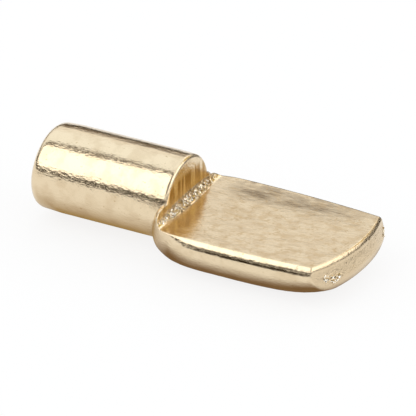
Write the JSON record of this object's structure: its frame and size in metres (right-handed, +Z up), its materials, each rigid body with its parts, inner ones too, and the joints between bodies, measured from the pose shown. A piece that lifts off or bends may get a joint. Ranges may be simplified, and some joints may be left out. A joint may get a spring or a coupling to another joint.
{
  "type": "shelf support pin",
  "caption": "Round metal pin for a drilled cabinet hole, headed out into a flat-topped, spoon-shaped paddle that carries a shelf, with a shoulder wall that stops it at the hole.",
  "frame": {"origin": "on the axis of the round pin, in the plane of the back of the shoulder, which rests against the cabinet side", "axes": "the pin runs towards -X, the paddle towards +X, and its flat face looks up along +Z"},
  "size_m": [0.0196, 0.0079, 0.0052],
  "materials": {
    "brass_plating": "thin bright brass plating over steel, slightly rippled"
  },
  "bodies": {
    "root": {"shelf_pin": "brass_plating"}
  },
  "joints": []
}
